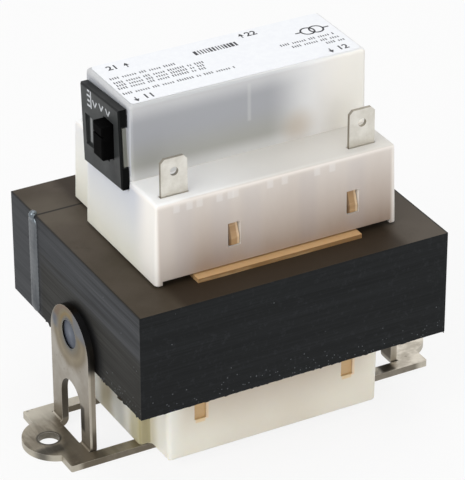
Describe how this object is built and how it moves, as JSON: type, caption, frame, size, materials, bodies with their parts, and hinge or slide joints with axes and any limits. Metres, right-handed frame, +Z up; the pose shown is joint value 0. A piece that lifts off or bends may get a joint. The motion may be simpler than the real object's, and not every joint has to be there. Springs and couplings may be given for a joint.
{
  "type": "foot-mounted control transformer",
  "caption": "Foot-mounted control transformer: laminated core, folded steel foot frame, plastic coil covers, tab terminals and a push-to-reset breaker on one end.",
  "frame": {"origin": "middle of the base, at the level that the feet stand on", "axes": "+X along the foot strip away from the breaker, +Y towards the secondary tabs, +Z up"},
  "size_m": [0.1028, 0.0636, 0.0853],
  "materials": {
    "core_laminations": "varnished electrical steel laminations, satin",
    "weld_bead": "bright weld bead",
    "frame_steel": "plated steel sheet, satin",
    "bobbin_plastic": "moulded glass-filled nylon",
    "winding_copper": "enamelled copper wire",
    "winding_tape": "polyester tape",
    "top_cover_plastic": "milky translucent moulded plastic",
    "bottom_cover_plastic": "cream moulded plastic",
    "tab_tin": "tinned brass",
    "lead_sleeve": "sleeved wire",
    "breaker_black": "black moulded plastic",
    "breaker_grey": "dark grey moulded plastic",
    "spring_steel": "spring wire",
    "contact_brass": "brass and bimetal strip",
    "label_paper": "matt printed label"
  },
  "bodies": {
    "transformer": {"core_e_stack": "core_laminations", "core_i_stack": "core_laminations", "core_weld_seams": "weld_bead", "mounting_frame": "frame_steel", "bobbin": "bobbin_plastic", "primary_winding": "winding_copper", "secondary_winding": "winding_copper", "primary_tape": "winding_tape", "secondary_tape": "winding_tape", "top_cover": "top_cover_plastic", "bottom_cover": "bottom_cover_plastic", "terminal_primary_common": "tab_tin", "terminal_primary_line": "tab_tin", "terminal_secondary_common": "tab_tin", "terminal_secondary_live": "tab_tin", "primary_lead_common": "lead_sleeve", "primary_lead_line": "lead_sleeve", "secondary_lead_common": "lead_sleeve", "secondary_lead_breaker": "lead_sleeve", "breaker_lead_live": "lead_sleeve", "breaker_bezel": "breaker_black", "breaker_case": "breaker_grey", "breaker_spring": "spring_steel", "breaker_terminal_in": "contact_brass", "breaker_terminal_out": "contact_brass", "breaker_contact_fixed": "contact_brass", "breaker_contact_moving": "contact_brass", "breaker_bimetal": "contact_brass", "breaker_rivet": "contact_brass", "label": "label_paper"},
    "button": {"breaker_button": "breaker_black"}
  },
  "joints": [
    {"name": "reset_push", "type": "slide", "parent": "transformer", "child": "button", "axis": [1, 0, 0], "range_m": [0, 0.003], "stiffness_N_per_m": 400, "springref_m": -0.002, "deforming": ["breaker_spring"]}
  ]
}
